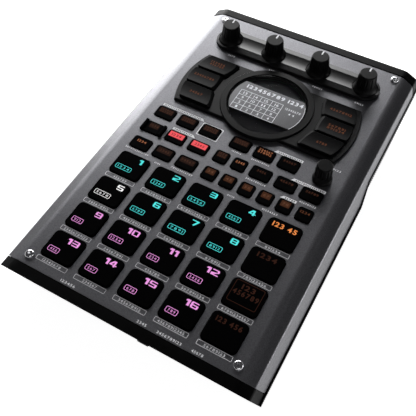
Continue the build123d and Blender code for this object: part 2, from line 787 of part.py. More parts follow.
def make_plinth():
    """Raised pill under the knobs: upright walls, shoulders that rise to a ridge each side
    of a channel, and a well round each knob."""
    body = Pos(0, 0, deck_top) * extrude(plinth_slot(0), amount=plinth_wall - deck_top)
    body += loft([Pos(0, 0, plinth_wall) * plinth_slot(0),
                  Pos(0, 0, plinth_height) * plinth_slot(plinth_shoulder)], ruled=True)
    dish_half = plinth_width / 2 - plinth_shoulder - plinth_ridge
    drop = math.sqrt(plinth_dish_radius**2 - dish_half**2)
    body -= Pos(0, 0, plinth_height + drop) * Rot(0, 90, 0) * Cylinder(plinth_dish_radius, far)
    for x in knob_places():
        body -= rod(x, 0, knob_skirt_radius + well_clearance, well_floor, plinth_height + 1)
        body -= rod(x, 0, bushing_radius + bushing_clearance, deck_top - 1, plinth_height)
    return Pos(0, knob_y, 0) * body


# ------------------------------------------------------------------ effects panel and display
def make_effects_panel():
    body = Pos(0, 0, deck_top) * extrude(effects_outline(0), amount=panel_top - deck_top)
    body = chamfer(body.edges().group_by(Axis.Z)[-1], panel_chamfer)
    body -= Pos(0, 0, deck_top - 1) * extrude(effects_outline(-panel_skirt),
                                              amount=panel_top - panel_wall - deck_top + 1)
    body -= rod(0, display_y, ring_sleeve_radius + panel_clearance, -far, far)
    for row in (1, 0, -1):
        face = fillet(effect_key_face(row, effect_clearance, effect_clearance).vertices(),
                      effect_corner + effect_clearance)
        hole = Pos(0, display_y, 0) * extrude(face, amount=2 * panel_top)
        body -= [hole, mirror(hole, about=Plane.YZ)]
    return body


def make_display_ring():
    """A flat ring round the glass, with a ledge for it and a sleeve down into the panel."""
    seat = lens_radius + lens_clearance
    lens_bottom = ring_top - lens_recess - lens_thickness
    ledge_radius = seat - lens_ledge
    sleeve_bottom = panel_top - panel_wall
    outline = Polyline((ring_radius, panel_top), (ring_sleeve_radius, panel_top),
                       (ring_sleeve_radius, sleeve_bottom), (ledge_radius, sleeve_bottom),
                       (ledge_radius, lens_bottom), (seat, lens_bottom), (seat, ring_top),
                       (ring_radius - ring_bevel, ring_top),
                       (ring_radius, ring_top - ring_bevel), close=True)
    return Pos(0, display_y, 0) * revolve(Plane.XZ * make_face(outline), Axis.Z)


def make_display_lens():
    top = ring_top - lens_recess
    return rod(0, display_y, lens_radius, top - lens_thickness, top)


def make_display_module():
    carrier_radius = lens_radius - lens_ledge - 0.4
    screen_top = ring_top - lens_recess - lens_thickness - screen_gap
    carrier = rod(0, display_y, carrier_radius, board_top, screen_top - screen_thickness)
    glass = Pos(0, display_y, screen_top) * extrude(
        Circle(carrier_radius) & Rectangle(screen_width, screen_height), amount=-screen_thickness)
    return carrier + glass


# ------------------------------------------------------------------ screws and feet
def make_faceplate_screws():
    socket_radius = hex_socket / math.sqrt(3)
    screws = []
    for x in (-screw_half_x, screw_half_x):
        for y in (0, screw_span_y):
            head = rod(0, 0, screw_head_radius, 0, screw_head_height)
            head = fillet(head.edges().group_by(Axis.Z)[-1], screw_head_height * 0.7)
            shank = rod(0, 0, screw_radius - shaft_clearance, -screw_length + 1, 0)
            socket = Pos(0, 0, screw_head_height - screw_socket_depth) * extrude(
                RegularPolygon(socket_radius, 6), amount=2 * screw_socket_depth)
            screws.append(Pos(x, y, 0) * (head + shank - socket))
    return group(*screws)


def make_case_screws():
    """Told in the table frame: the screws stand upright in the case floor."""
    screws = []
    for x in (-case_column_x, case_column_x):
        for y in case_column_y:
            stand_y = plate_origin_y + y * math.cos(math.radians(plate_tilt))
            head_top = foot_height + case_screw_head_height
            screw = rod(x, stand_y, case_screw_head_radius, foot_height, head_top)
            screw += rod(x, stand_y, screw_radius - shaft_clearance, head_top,
                         floor_top + case_screw_length - 1)
            screws.append(screw)
    return group(*screws)


def make_feet():
    feet = []
    for x, y in foot_places():
        stand_y = plate_origin_y + y * math.cos(math.radians(plate_tilt))
        foot = rod(x, stand_y, foot_radius, 0, foot_height + foot_recess)
        feet.append(chamfer(foot.edges().group_by(Axis.Z)[0], 0.6))
    return group(*feet)


# ------------------------------------------------------------------ jacks and panels
def jack_solid(bore, bushing, nut, nut_thickness, body_width, body_height, body_length, proud):
    """A panel jack on the +Z axis: panel face at 0, body below the panel sheet."""
    behind = -panel_sheet
    body = block(-body_width / 2, body_width / 2, -body_height / 2, body_height / 2,
                 behind - body_length, behind)
    body += rod(0, 0, bushing, behind, proud)
    body += Pos(0, 0, nut_thickness / 2) * extrude(
        RegularPolygon(nut, 6), amount=nut_thickness / 2, both=True)
    return body - rod(0, 0, bore, behind - body_length + jack_blind_wall, proud)


def large_jack():
    return jack_solid(jack_bore_radius, jack_bushing_radius, jack_nut_radius, jack_nut_thickness,
                      jack_body_width, jack_body_height, jack_body_length, jack_proud)


def small_jack():
    return jack_solid(mini_bore_radius, mini_bushing_radius, mini_nut_radius, jack_nut_thickness,
                      mini_body_width, mini_body_width, mini_body_length, jack_proud)


# an outward-facing frame on each panel: local x to the viewer's right or left, z outwards
front_face = front_frame * Location((0, front_wall + panel_gap, -front_axis_depth), (90, 0, 0))
rear_face = rear_frame * Location((0, -rear_wall - panel_gap, -rear_axis_depth), (-90, 0, 0))
# beyond a panel, x along the panel stays world x and y is reversed on the rear face


def make_front_panel():
    half = front_window_half + panel_overlap
    top = front_axis_depth - front_window_top + panel_overlap
    bottom = -(front_window_bottom - front_axis_depth) - panel_overlap
    panel = block(-half, half, bottom, top, -panel_sheet, 0)
    cuts = [
        rod(phones_x, 0, jack_bushing_radius + screw_clearance, -far, far),
        rod(input_x, 0, jack_bushing_radius + screw_clearance, -far, far),
        rod(mini_phones_x, 0, mini_bushing_radius + screw_clearance, -far, far),
        rod(gain_x, 0, gain_shaft_radius + 1.0 + screw_clearance, -far, far),
        block(card_x - card_width / 2 - slide_gap, card_x + card_width / 2 + slide_gap,
              -card_height / 2 - slide_gap, card_height / 2 + slide_gap, -far, far),
        block(switch_x - (switch_lever_width + switch_travel) / 2 - slide_gap,
              switch_x + (switch_lever_width + switch_travel) / 2 + slide_gap,
              -switch_lever_height / 2 - slide_gap, switch_lever_height / 2 + slide_gap,
              -far, far),
    ]
    return front_face * (panel - cuts)


def make_front_connectors():
    behind = -panel_sheet
    jacks = [Pos(phones_x, 0, 0) * large_jack(), Pos(input_x, 0, 0) * large_jack(),
             Pos(mini_phones_x, 0, 0) * small_jack()]
    card = block(card_x - card_width / 2 - 1.5, card_x + card_width / 2 + 1.5,
                 -card_height / 2 - 1, card_height / 2 + 1, behind - card_depth, behind)
    card -= block(card_x - card_width / 2, card_x + card_width / 2,
                  -card_height / 2, card_height / 2, behind - card_depth + 1.5, far)
    gain_pot = block(gain_x - 5, gain_x + 5, -5, 5, behind - 8, behind)
    gain_pot += rod(gain_x, 0, gain_shaft_radius + 1.0, behind, 0)
    gain_pot -= rod(gain_x, 0, gain_shaft_radius + shaft_clearance, behind - 7, far)
    switch = block(switch_x - 5, switch_x + 5, -3.5, 3.5, behind - 6, behind)
    switch -= block(switch_x - (switch_lever_width + switch_travel) / 2 - slide_gap,
                    switch_x + (switch_lever_width + switch_travel) / 2 + slide_gap,
                    -switch_lever_height / 2 - slide_gap, switch_lever_height / 2 + slide_gap,
                    behind - 3, far)
    return front_face * group(*jacks, card, gain_pot, switch)


def make_gain_knob():
    """The small knob on the front panel with its shaft, turning about the panel's normal."""
    profile = make_face(Polyline((0, slide_gap), (gain_radius, slide_gap),
                                 (gain_radius - 0.4, gain_length - 0.5),
                                 (gain_radius - 0.9, gain_length), (0, gain_length), close=True))
    body = revolve(Plane.XZ * profile, Axis.Z)
    for k in range(knob_flutes):
        groove = rod(gain_radius + 0.15, 0, 0.5, 1.2, gain_length + 1)
        body -= Rot(0, 0, 360 / knob_flutes * (k + 0.5)) * groove
    body -= rod(0, 0, gain_shaft_radius + shaft_clearance / 2, -1, gain_length - 1.5)
    shaft = rod(0, 0, gain_shaft_radius, -panel_sheet - 6.5, gain_length - 1.5 - shaft_clearance)
    return front_face * (Pos(gain_x, 0, 0) * group(body, shaft))


def make_switch_lever():
    """The slide switch's lever at the left end of its travel."""
    x = switch_x - switch_travel / 2
    return front_face * block(x - switch_lever_width / 2, x + switch_lever_width / 2,
                              -switch_lever_height / 2, switch_lever_height / 2,
                              -panel_sheet - 2.7, switch_lever_proud)


def make_rear_panel():
    half = rear_window_half + panel_overlap
    top = rear_axis_depth - rear_window_top + panel_overlap
    bottom = -(rear_window_bottom - rear_axis_depth) - panel_overlap
    panel = block(-half, half, -top, -bottom, -panel_sheet, 0)
    cuts = [rod(x, 0, jack_bushing_radius + screw_clearance, -far, far) for x in line_jack_x]
    cuts += [rod(x, 0, mini_bushing_radius + screw_clearance, -far, far) for x in midi_jack_x]
    cuts.append(rod(dc_x, 0, dc_bore_radius + 1.2 + screw_clearance, -far, far))
    cuts.append(block(usb_x - usb_width / 2 - slide_gap, usb_x + usb_width / 2 + slide_gap,
                      -usb_height / 2 - slide_gap, usb_height / 2 + slide_gap, -far, far))
    cuts.append(block(power_x - power_width / 2 - slide_gap, power_x + power_width / 2 + slide_gap,
                      -power_height / 2 - slide_gap, power_height / 2 + slide_gap, -far, far))
    return rear_face * (panel - cuts)


def make_rear_connectors():
    behind = -panel_sheet
    jacks = [Pos(x, 0, 0) * large_jack() for x in line_jack_x]
    jacks += [Pos(x, 0, 0) * small_jack() for x in midi_jack_x]
    usb = block(usb_x - usb_width / 2 - 1, usb_x + usb_width / 2 + 1,
                -usb_height / 2 - 1, usb_height / 2 + 1, behind - 8, behind)
    usb -= block(usb_x - usb_width / 2, usb_x + usb_width / 2,
                 -usb_height / 2, usb_height / 2, behind - 7, far)
    dc = block(dc_x - 5, dc_x + 5, -5.5, 5.5, behind - 12, behind)
    dc += rod(dc_x, 0, dc_bore_radius + 1.2, behind, 0)
    dc -= rod(dc_x, 0, dc_bore_radius, behind - 10, far)
    dc += rod(dc_x, 0, dc_pin_radius, behind - 10, behind)
    power = block(power_x - power_width / 2 - 1.5, power_x + power_width / 2 + 1.5,
                  -power_height / 2 - 1.5, power_height / 2 + 1.5, behind - 14, behind)
    power -= block(power_x - power_width / 2 - slide_gap, power_x + power_width / 2 + slide_gap,
                   -power_height / 2 - slide_gap, power_height / 2 + slide_gap, behind - 12, far)
    return rear_face * group(*jacks, usb, dc, power)


def make_power_button():
    """The power button standing out, with its travel free behind it."""
    outer = power_proud + rear_wall + panel_gap
    inner = -panel_sheet - 12 + power_travel + slide_gap
    body = block(power_x - power_width / 2, power_x + power_width / 2,
                 -power_height / 2, power_height / 2, inner, outer)
    return rear_face * chamfer(body.edges().group_by(Axis.Z)[-1], 0.5)


# ------------------------------------------------------------------ build every node
keep("faceplate", make_faceplate())
keep("upper_case", make_upper_case())
keep("bottom_case", make_bottom_case())
keep("effects_panel", make_effects_panel())
keep("display_ring", make_display_ring())
keep("display_lens", make_display_lens())
keep("display_module", make_display_module())
keep("knob_plinth", make_plinth())
keep("faceplate_screws", make_faceplate_screws())
keep("panel_board", make_panel_board())
keep("front_panel", make_front_panel())
keep("rear_panel", make_rear_panel())
keep("front_connectors", make_front_connectors())
keep("rear_connectors", make_rear_connectors())
nodes["case_screws"] = make_case_screws()
nodes["rubber_feet"] = make_feet()
nodes["main_board"] = make_main_board()

for number, (x, y) in enumerate(numbered_pads, start=1):
    keep(f"pad_{number:02d}", pad_solid(x, y))
for number, (x, y) in enumerate(function_pads, start=1):
    keep(f"function_pad_{number}", pad_solid(x, y))
for name, (keys, y, depth) in key_groups.items():
    keep(name, group(*[key_solid(x, y, width, depth) for x, width in keys]))
keep("key_guarded", key_solid(wide_key_x[0], row_middle_y, guarded_key_width, row_middle_depth,
                              key_corner / 2, guard_gap / 2))
keep("key_guard", make_key_guard())
for side, word in ((-1, "left"), (1, "right")):
    for number, row in enumerate((1, 0, -1), start=1):
        keep(f"effect_key_{word}_{number}", effect_key_solid(row, side))

pots = []
for number, x in enumerate(knob_places(), start=1):
    keep(f"control_knob_{number}",
         knob_with_shaft(x, knob_y, knob_skirt_radius, knob_waist_radius, knob_cap_radius,
                         well_floor + knob_lift, knob_top, board_top - pot_height + 1.5))
    pots.append(pot_solid(x, knob_y, board_top, well_floor))
keep("value_knob",
     knob_with_shaft(value_x, value_y, value_skirt_radius, value_waist_radius, value_cap_radius,
                     knob_lift, value_top, board_bottom - pot_height + 1.5))
pots.append(pot_solid(value_x, value_y, board_bottom, 0))
keep("potentiometers", group(*pots))
keep("gain_knob", make_gain_knob())
keep("input_switch_lever", make_switch_lever())
keep("power_button", make_power_button())

os.makedirs("parts", exist_ok=True)
for name, shape in nodes.items():
    export_step(shape, f"parts/{name}.step")
print(len(nodes), "nodes; overall length", round(overall_length, 1),
      "mm; plate height", round(plate_height, 2), "mm")
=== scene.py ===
import functools
import math

import bmesh
import bpy
from mathutils import Matrix, Vector
from mathutils.bvhtree import BVHTree


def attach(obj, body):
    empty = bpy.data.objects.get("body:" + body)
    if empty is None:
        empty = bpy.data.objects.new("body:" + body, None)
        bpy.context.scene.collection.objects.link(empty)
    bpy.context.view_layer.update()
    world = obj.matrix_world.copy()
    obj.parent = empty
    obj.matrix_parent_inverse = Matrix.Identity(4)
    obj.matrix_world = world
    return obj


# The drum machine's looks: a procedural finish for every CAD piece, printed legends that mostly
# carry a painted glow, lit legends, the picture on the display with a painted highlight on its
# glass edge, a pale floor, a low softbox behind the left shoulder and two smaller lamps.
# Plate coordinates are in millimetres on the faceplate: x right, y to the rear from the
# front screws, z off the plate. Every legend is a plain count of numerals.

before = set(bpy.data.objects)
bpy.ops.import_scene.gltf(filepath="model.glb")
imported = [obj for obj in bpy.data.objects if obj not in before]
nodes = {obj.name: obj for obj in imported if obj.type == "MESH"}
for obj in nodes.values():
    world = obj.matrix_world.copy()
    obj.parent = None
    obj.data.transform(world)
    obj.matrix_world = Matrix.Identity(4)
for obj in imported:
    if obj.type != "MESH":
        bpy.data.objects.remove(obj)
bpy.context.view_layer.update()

# ------------------------------------------------------------------ plate frame
MM = 0.001
plate_tilt = math.radians(4.6)
plate_origin = Vector((0, -124.06, 35.80)) * MM
plate = Matrix.Translation(plate_origin) @ Matrix.Rotation(plate_tilt, 4, "X")
plate_up = (plate.to_3x3() @ Vector((0, 0, 1))).normalized()

# ------------------------------------------------------------------ sizes on the plate
pad_pitch = (27.4, 23.9)
first_pad_y = 13.05
pad_top = 1.3
key_top = 0.9
effect_top = 4.4
display_y = 176.9
screen_top = 1.2
screen_half = 14.0             # half the lit area, front to rear
glass_radius = 27.0
knob_x = [-54.3, -18.1, 18.1, 54.3]
knob_y = 225.0
knob_top = 16.3
print_gap = 0.03               # printed and lit legends stand this far off their surface
relief = 0.2                   # depth of the grain at full strength
lens_edge = 0.3                # width of the bevel on the display glass
edge_round = 0.25              # radius at which the faceplate's cut edges are shaded as rounded
side_smooth = 0.8              # roughness of the faceplate's sides, as a share of its middle's
side_reach = (76.5, 79.0)      # between these distances from the middle it becomes the side
row_bottom, row_middle, row_top = 104.7, 120.5, 136.4
wide_x = [-58.9, -41.1, -23.3]
top_right_x = [0.2, 18.1, 35.9]
middle_right_x = [23.2, 41.1, 58.9]
narrow_x = [-5.9 + 13.4 * k for k in range(6)]

# ------------------------------------------------------------------ camera
camera_place = Vector((112.67, -253.06, 337.18)) * MM
camera_turn = (38.489, -1.853, 29.244)
camera_lens = 52.18


def make_camera():
    data = bpy.data.cameras.new("camera")
    data.lens = camera_lens
    data.sensor_width = 36.0
    data.sensor_fit = "HORIZONTAL"
    data.clip_start = 0.01
    camera = bpy.data.objects.new("camera", data)
    camera.location = camera_place
    camera.rotation_euler = [math.radians(a) for a in camera_turn]
    bpy.context.scene.collection.objects.link(camera)
    bpy.context.scene.camera = camera


# ------------------------------------------------------------------ materials
def new_material(name):
    material = bpy.data.materials.new(name)
    material.use_nodes = True
    tree = material.node_tree
    return material, tree, tree.nodes["Principled BSDF"]


def noise(tree, scale, detail=3.0, stretch=(1, 1, 1)):
    place = tree.nodes.new("ShaderNodeTexCoord")
    spread = tree.nodes.new("ShaderNodeMapping")
    spread.inputs["Scale"].default_value = stretch
    tree.links.new(place.outputs["Object"], spread.inputs["Vector"])
    node = tree.nodes.new("ShaderNodeTexNoise")
    node.inputs["Scale"].default_value = scale
    node.inputs["Detail"].default_value = detail
    tree.links.new(spread.outputs["Vector"], node.inputs["Vector"])
    return node.outputs["Fac"]


def ramp(tree, value, low, high, start=0.3, end=0.7):
    node = tree.nodes.new("ShaderNodeValToRGB")
    node.color_ramp.elements[0].position = start
    node.color_ramp.elements[1].position = end
    node.color_ramp.elements[0].color = (*low, 1)
    node.color_ramp.elements[1].color = (*high, 1)
    tree.links.new(value, node.inputs["Fac"])
    return node.outputs["Color"]


def math_node(tree, operation, *values):
    """A Math node on sockets or plain numbers; gives back its output."""
    node = tree.nodes.new("ShaderNodeMath")
    node.operation = operation
    for socket, value in zip(node.inputs, values):
        if isinstance(value, float):
            socket.default_value = value
        else:
            tree.links.new(value, socket)
    return node.outputs["Value"]


def surface(name, color, roughness, metallic=0.0, specular=0.5, mottle=0.08, mottle_scale=120.0,
            grain_scale=2200.0, grain=0.05, roughness_spread=0.05, stretch=(1, 1, 1)):
    """A Principled material whose colour, roughness and fine relief vary over the surface."""
    material, tree, shader = new_material(name)
    shader.inputs["Metallic"].default_value = metallic
    shader.inputs["Specular IOR Level"].default_value = specular
    low = [c * (1 - mottle) for c in color]
    high = [min(1, c * (1 + mottle)) for c in color]
    tree.links.new(ramp(tree, noise(tree, mottle_scale), low, high), shader.inputs["Base Color"])
    spread = tree.nodes.new("ShaderNodeMapRange")
    spread.inputs["To Min"].default_value = roughness - roughness_spread
    spread.inputs["To Max"].default_value = roughness + roughness_spread
    tree.links.new(noise(tree, mottle_scale * 2.3), spread.inputs["Value"])
    tree.links.new(spread.outputs["Result"], shader.inputs["Roughness"])
    bump = tree.nodes.new("ShaderNodeBump")
    bump.inputs["Strength"].default_value = grain
    bump.inputs["Distance"].default_value = relief * MM
    tree.links.new(noise(tree, grain_scale, 2.0, stretch), bump.inputs["Height"])
    tree.links.new(bump.outputs["Normal"], shader.inputs["Normal"])
    return material


def lit(name, color):
    """A legend with light behind it, a little uneven."""
    material, tree, shader = new_material(name)
    shader.inputs["Base Color"].default_value = (*[0.1 * c for c in color], 1)
    shader.inputs["Roughness"].default_value = 0.8
    shader.inputs["Specular IOR Level"].default_value = 0.03
    glow = ramp(tree, noise(tree, 300.0), [0.85 * c for c in color], color)
    tree.links.new(glow, shader.inputs["Emission Color"])
    shader.inputs["Emission Strength"].default_value = 1.0
    return material


def ink(name, color, glow):
    """Pale screen print, slightly uneven, with a painted glow that makes it look more brightly lit.
    """
    material = surface(name, color, 0.6, specular=0.2, mottle=0.1, mottle_scale=900.0, grain=0.02)
    shader = material.node_tree.nodes["Principled BSDF"]
    # painted glow: the print gives off light in its own colour, so that it looks more brightly lit
    shader.inputs["Emission Color"].default_value = (*color, 1)
    shader.inputs["Emission Strength"].default_value = glow
    return material


def glass(name):
    """Clear glass with a faint unevenness, as from wiping."""
    material, tree, shader = new_material(name)
    shader.inputs["Base Color"].default_value = (1, 1, 1, 1)
    spread = tree.nodes.new("ShaderNodeMapRange")
    spread.inputs["To Min"].default_value = 0.0
    spread.inputs["To Max"].default_value = 0.02
    tree.links.new(noise(tree, 60.0), spread.inputs["Value"])
    tree.links.new(spread.outputs["Result"], shader.inputs["Roughness"])
    shader.inputs["Transmission Weight"].default_value = 1.0
    shader.inputs["IOR"].default_value = 1.35
    return material


def screen_glow(name):
    """The display's lit field: grey, brighter towards its left rear corner."""
    material, tree, shader = new_material(name)
    shader.inputs["Base Color"].default_value = (0.01, 0.01, 0.012, 1)
    shader.inputs["Roughness"].default_value = 0.4
    place = tree.nodes.new("ShaderNodeTexCoord")
    turn = tree.nodes.new("ShaderNodeMapping")
    turn.vector_type = "TEXTURE"
    turn.inputs["Location"].default_value = plate @ (Vector((-26, display_y + 14, 0)) * MM)
    turn.inputs["Rotation"].default_value = (0, 0, math.radians(-50))
    turn.inputs["Scale"].default_value = (0.052, 0.052, 0.052)
    tree.links.new(place.outputs["Object"], turn.inputs["Vector"])
    fade = tree.nodes.new("ShaderNodeTexGradient")
    tree.links.new(turn.outputs["Vector"], fade.inputs["Vector"])
    colors = ramp(tree, fade.outputs["Fac"], (0.185, 0.187, 0.196), (0.085, 0.086, 0.09), 0.0, 1.0)
    tree.links.new(colors, shader.inputs["Emission Color"])
    shader.inputs["Emission Strength"].default_value = 1.0
    return material


def gunmetal(name):
    """The faceplate's grained paint, a little smoother on its bent sides."""
    material = surface(name, (0.175, 0.175, 0.187), 0.40, metallic=0.9, mottle=0.2,
                       mottle_scale=1500.0, grain=0.4, roughness_spread=0.04)
    tree = material.node_tree
    shader = tree.nodes["Principled BSDF"]
    place = tree.nodes.new("ShaderNodeTexCoord")
    split = tree.nodes.new("ShaderNodeSeparateXYZ")
    tree.links.new(place.outputs["Object"], split.inputs["Vector"])
    reach = tree.nodes.new("ShaderNodeMapRange")
    reach.inputs["From Min"].default_value = side_reach[0] * MM
    reach.inputs["From Max"].default_value = side_reach[1] * MM
    tree.links.new(math_node(tree, "ABSOLUTE", split.outputs["X"]), reach.inputs["Value"])
    side = reach.outputs["Result"]
    rounded = tree.nodes.new("ShaderNodeBevel")
    rounded.samples = 6
    rounded.inputs["Radius"].default_value = edge_round * MM
    bump = next(node for node in tree.nodes if node.type == "BUMP")
    tree.links.new(rounded.outputs["Normal"], bump.inputs["Normal"])
    rough = shader.inputs["Roughness"].links[0].from_socket
    tree.links.new(math_node(tree, "MULTIPLY", rough,
                             math_node(tree, "MULTIPLY_ADD", side, side_smooth - 1.0, 1.0)),
                   shader.inputs["Roughness"])
    return material


def make_materials():
    return {
        "gunmetal": gunmetal("gunmetal"),
        "case": surface("case", (0.0008, 0.0008, 0.0009), 0.40, specular=0.075, grain=0.25,
                        grain_scale=1800.0, mottle=0.25),
        "panel": surface("panel", (0.0032, 0.0032, 0.0036), 0.42, specular=0.17, grain=0.22,
                         grain_scale=2000.0, mottle=0.15),
        "gloss": surface("gloss", (0.0020, 0.0020, 0.0023), 0.36, specular=0.15, grain=0.05),
        "plinth": surface("plinth", (0.0045, 0.0045, 0.005), 0.36, specular=0.34, grain=0.06),
        "pad": surface("pad", (0.0004, 0.0004, 0.0006), 0.82, specular=0.018, grain=0.14,
                       grain_scale=2600.0, mottle=0.3),
        "key": surface("key", (0.0004, 0.0004, 0.0006), 0.76, specular=0.02, grain=0.1,
                       grain_scale=2600.0, mottle=0.3),
        "effect_key": surface("effect_key", (0.0010, 0.0010, 0.0013), 0.46, specular=0.06,
                              grain=0.14, grain_scale=2400.0, mottle=0.2),
        "knob": surface("knob", (0.0004, 0.0004, 0.0006), 0.40, specular=0.13, grain=0.1,
                        mottle=0.25),
        "chrome": surface("chrome", (0.80, 0.80, 0.82), 0.2, metallic=1.0, mottle=0.03,
                          grain=0.02, roughness_spread=0.03),
        "black_steel": surface("black_steel", (0.03, 0.03, 0.032), 0.35, metallic=0.8),
        "board": surface("board", (0.01, 0.07, 0.03), 0.35, mottle=0.2, mottle_scale=300.0),
        "connector": surface("connector", (0.014, 0.014, 0.015), 0.4, grain=0.1, mottle=0.2),
        "foot": surface("foot", (0.008, 0.008, 0.008), 0.75, specular=0.2, grain=0.3, mottle=0.2),
        "steel": surface("steel", (0.55, 0.55, 0.56), 0.3, metallic=1.0, stretch=(1, 1, 12)),
        "screen": surface("screen", (0.004, 0.005, 0.008), 0.4, specular=0.15),
        "lens": glass("lens"),
        # the prints and the knob pointers carry a painted glow, so that they look more brightly lit
        "print": ink("print", (0.80, 0.80, 0.82), 0.20),
        "print_dim": ink("print_dim", (0.74, 0.74, 0.76), 0.16),
        "print_dark": ink("print_dark", (0.08, 0.08, 0.085), 0.0),
        "pointer": ink("pointer", (0.85, 0.85, 0.87), 0.3),
        "cyan": lit("cyan", (0.09, 0.80, 0.78)),
        "pink": lit("pink", (0.86, 0.34, 0.78)),
        "white": lit("white", (0.95, 0.95, 0.95)),
        "orange": lit("orange", (0.85, 0.27, 0.07)),
        "amber": lit("amber", (0.40, 0.15, 0.07)),
        "ember": lit("ember", (0.115, 0.042, 0.021)),
        "brown": lit("brown", (0.052, 0.020, 0.010)),
        "dim": lit("dim", (0.031, 0.0115, 0.0075)),
        "faint": lit("faint", (0.060, 0.023, 0.014)),
        "bronze": lit("bronze", (0.125, 0.052, 0.028)),
        "window": lit("window", (0.0190, 0.0092, 0.0066)),
        "red": lit("red", (0.84, 0.10, 0.115)),
        "red_dark": lit("red_dark", (0.22, 0.02, 0.022)),
        "display_lit": screen_glow("display_lit"),
        "display_line": lit("display_line", (0.78, 0.80, 0.84)),
    }


node_materials = {
    "faceplate": "gunmetal", "upper_case": "case", "bottom_case": "case",
    "effects_panel": "panel", "display_ring": "gloss", "display_lens": "lens",
    "display_module": "screen", "knob_plinth": "plinth", "key_guard": "key",
    "faceplate_screws": "chrome", "panel_board": "board", "main_board": "board",
    "front_panel": "case", "rear_panel": "case", "front_connectors": "connector",
    "rear_connectors": "connector", "case_screws": "black_steel", "rubber_feet": "foot",
    "potentiometers": "steel", "gain_knob": "knob", "value_knob": "knob",
    "input_switch_lever": "knob", "power_button": "knob",
}
family_materials = {"pad_": "pad", "function_pad": "pad", "key": "key", "effect_key": "effect_key",
                    "control_knob": "knob"}


def dress_nodes(materials):
    for name, obj in nodes.items():
        kind = node_materials.get(name)
        if kind is None:
            kind = next(m for start, m in family_materials.items() if name.startswith(start))
        obj.data.materials.clear()
        obj.data.materials.append(materials[kind])
    soften(nodes["display_lens"], lens_edge)


def soften(obj, width):
    """Rounds an object's hard edges a little, so that they catch the light."""
    bevel = obj.modifiers.new("edge", "BEVEL")
    bevel.width = width * MM
    bevel.segments = 3
    bevel.limit_method = "ANGLE"
    bevel.angle_limit = math.radians(60)


# ------------------------------------------------------------------ numerals
type_size = 1.37               # size at which the built-in typeface's numerals are 1 tall
word_space = 0.45              # between groups of numerals, in a numeral 1 tall
letter_share = 0.92            # width of a letter and its space, as a share of its height


@functools.lru_cache(maxsize=None)
def numeral(character, weight, steps):
    """Corners and faces of one character of the built-in typeface, 1 tall, and its width."""
    curve = bpy.data.curves.new("numeral", "FONT")
    curve.body = character
    curve.size = type_size
    curve.offset = weight
    curve.resolution_u = steps
    holder = bpy.data.objects.new("numeral", curve)
    bpy.context.scene.collection.objects.link(holder)
    shape = bpy.data.meshes.new_from_object(
        holder.evaluated_get(bpy.context.evaluated_depsgraph_get()))
    left = min(v.co.x for v in shape.vertices)
    points = [(v.co.x - left, v.co.y) for v in shape.vertices]
    faces = [tuple(p.vertices) for p in shape.polygons]
    bpy.data.objects.remove(holder)
    bpy.data.curves.remove(curve)
    bpy.data.meshes.remove(shape)
    return points, faces, max(p[0] for p in points)


numeral_wide = 4.85            # width of a square numeral
numeral_slim = 0.56            # a one is this share of that width
numeral_space = 0.66
bar = 0.17                     # height of a bar, in a numeral 1 tall
stem = 0.25                    # width of a stem, in a numeral 1 wide
bars = {"top": 1 - bar, "middle": (1 - bar) / 2, "bottom": 0.0}
# the bars and stems of each numeral; stems are lower left, upper left, lower right, upper right
square_parts = {
    "0": ("top bottom", 1, 1, 1, 1), "3": ("top middle bottom", 0, 0, 1, 1),
    "5": ("top middle bottom", 0, 1, 1, 0), "6": ("top middle bottom", 1, 1, 1, 0),
    "8": ("top middle bottom", 1, 1, 1, 1), "9": ("top middle bottom", 0, 1, 1, 1),
}


def square_numerals(character):
    """The flat shapes that make one square numeral in a unit square; none overlap."""
    low, high = bars["middle"], bars["middle"] + bar
    if character == "1":
        return [[(0.0, 0.68), (0.46, 0.68), (0.46, 1), (0.3, 1), (0.0, 0.86)],
                box_loop(0.46, 1, 0, 1)]
    if character == "2":
        return [[(0, 1 - bar), (1, 1 - bar), (0.9, 1), (0.1, 1)],
                box_loop(1 - stem, 1, high, 1 - bar),
                [(0, bar), (stem + 0.08, bar), (1, high), (1 - stem, high), (0, low)],
                box_loop(0, 1, 0, bar)]
    if character == "4":
        return [box_loop(0, 0.55, 0.2, 0.2 + bar), box_loop(0.55 + stem, 1, 0.2, 0.2 + bar),
                box_loop(0.55, 0.55 + stem, 0, 1),
                [(0, 0.2 + bar), (0.3, 0.2 + bar), (0.55, 0.78), (0.55, 1), (0.4, 1)]]
    if character == "7":
        return [box_loop(0, 1, 1 - bar, 1), [(0.3, 0), (0.3 + stem, 0), (1, 1 - bar),
                                             (1 - stem - 0.06, 1 - bar)]]
    names, *stems = square_parts[character]
    shapes = []
    cut = 0.1
    for name in names.split():
        y = bars[name]
        if name == "top":
            shapes.append([(0, y), (1, y), (1 - cut, 1), (cut, 1)])
        elif name == "bottom":
            shapes.append([(cut, 0), (1 - cut, 0), (1, bar), (0, bar)])
        else:
            shapes.append(box_loop(0, 1, y, y + bar))
    if "middle" not in names:
        low = high = 0.5
    sides = ((0, stem, bar, low), (0, stem, high, 1 - bar),
             (1 - stem, 1, bar, low), (1 - stem, 1, high, 1 - bar))
    return shapes + [box_loop(*side) for side, there in zip(sides, stems) if there]


def count_up(first, amount):
    """Plain numerals in counting order, which hold the place of a word."""
    return "".join(str((first + k - 1) % 9 + 1) for k in range(amount))


# ------------------------------------------------------------------ flat prints
def rounded_loop(x0, x1, y0, y1, radius):
    """Corner points of a rounded rectangle, counter-clockwise."""
    steps = 4
    points = []
    for cx, cy, start in ((x1 - radius, y1 - radius, 0), (x0 + radius, y1 - radius, 90),
                          (x0 + radius, y0 + radius, 180), (x1 - radius, y0 + radius, 270)):
        for k in range(steps + 1):
            a = math.radians(start + 90 * k / steps)
            points.append((cx + radius * math.cos(a), cy + radius * math.sin(a)))
    return points


def box_loop(x0, x1, y0, y1):
    return [(x0, y0), (x1, y0), (x1, y1), (x0, y1)]


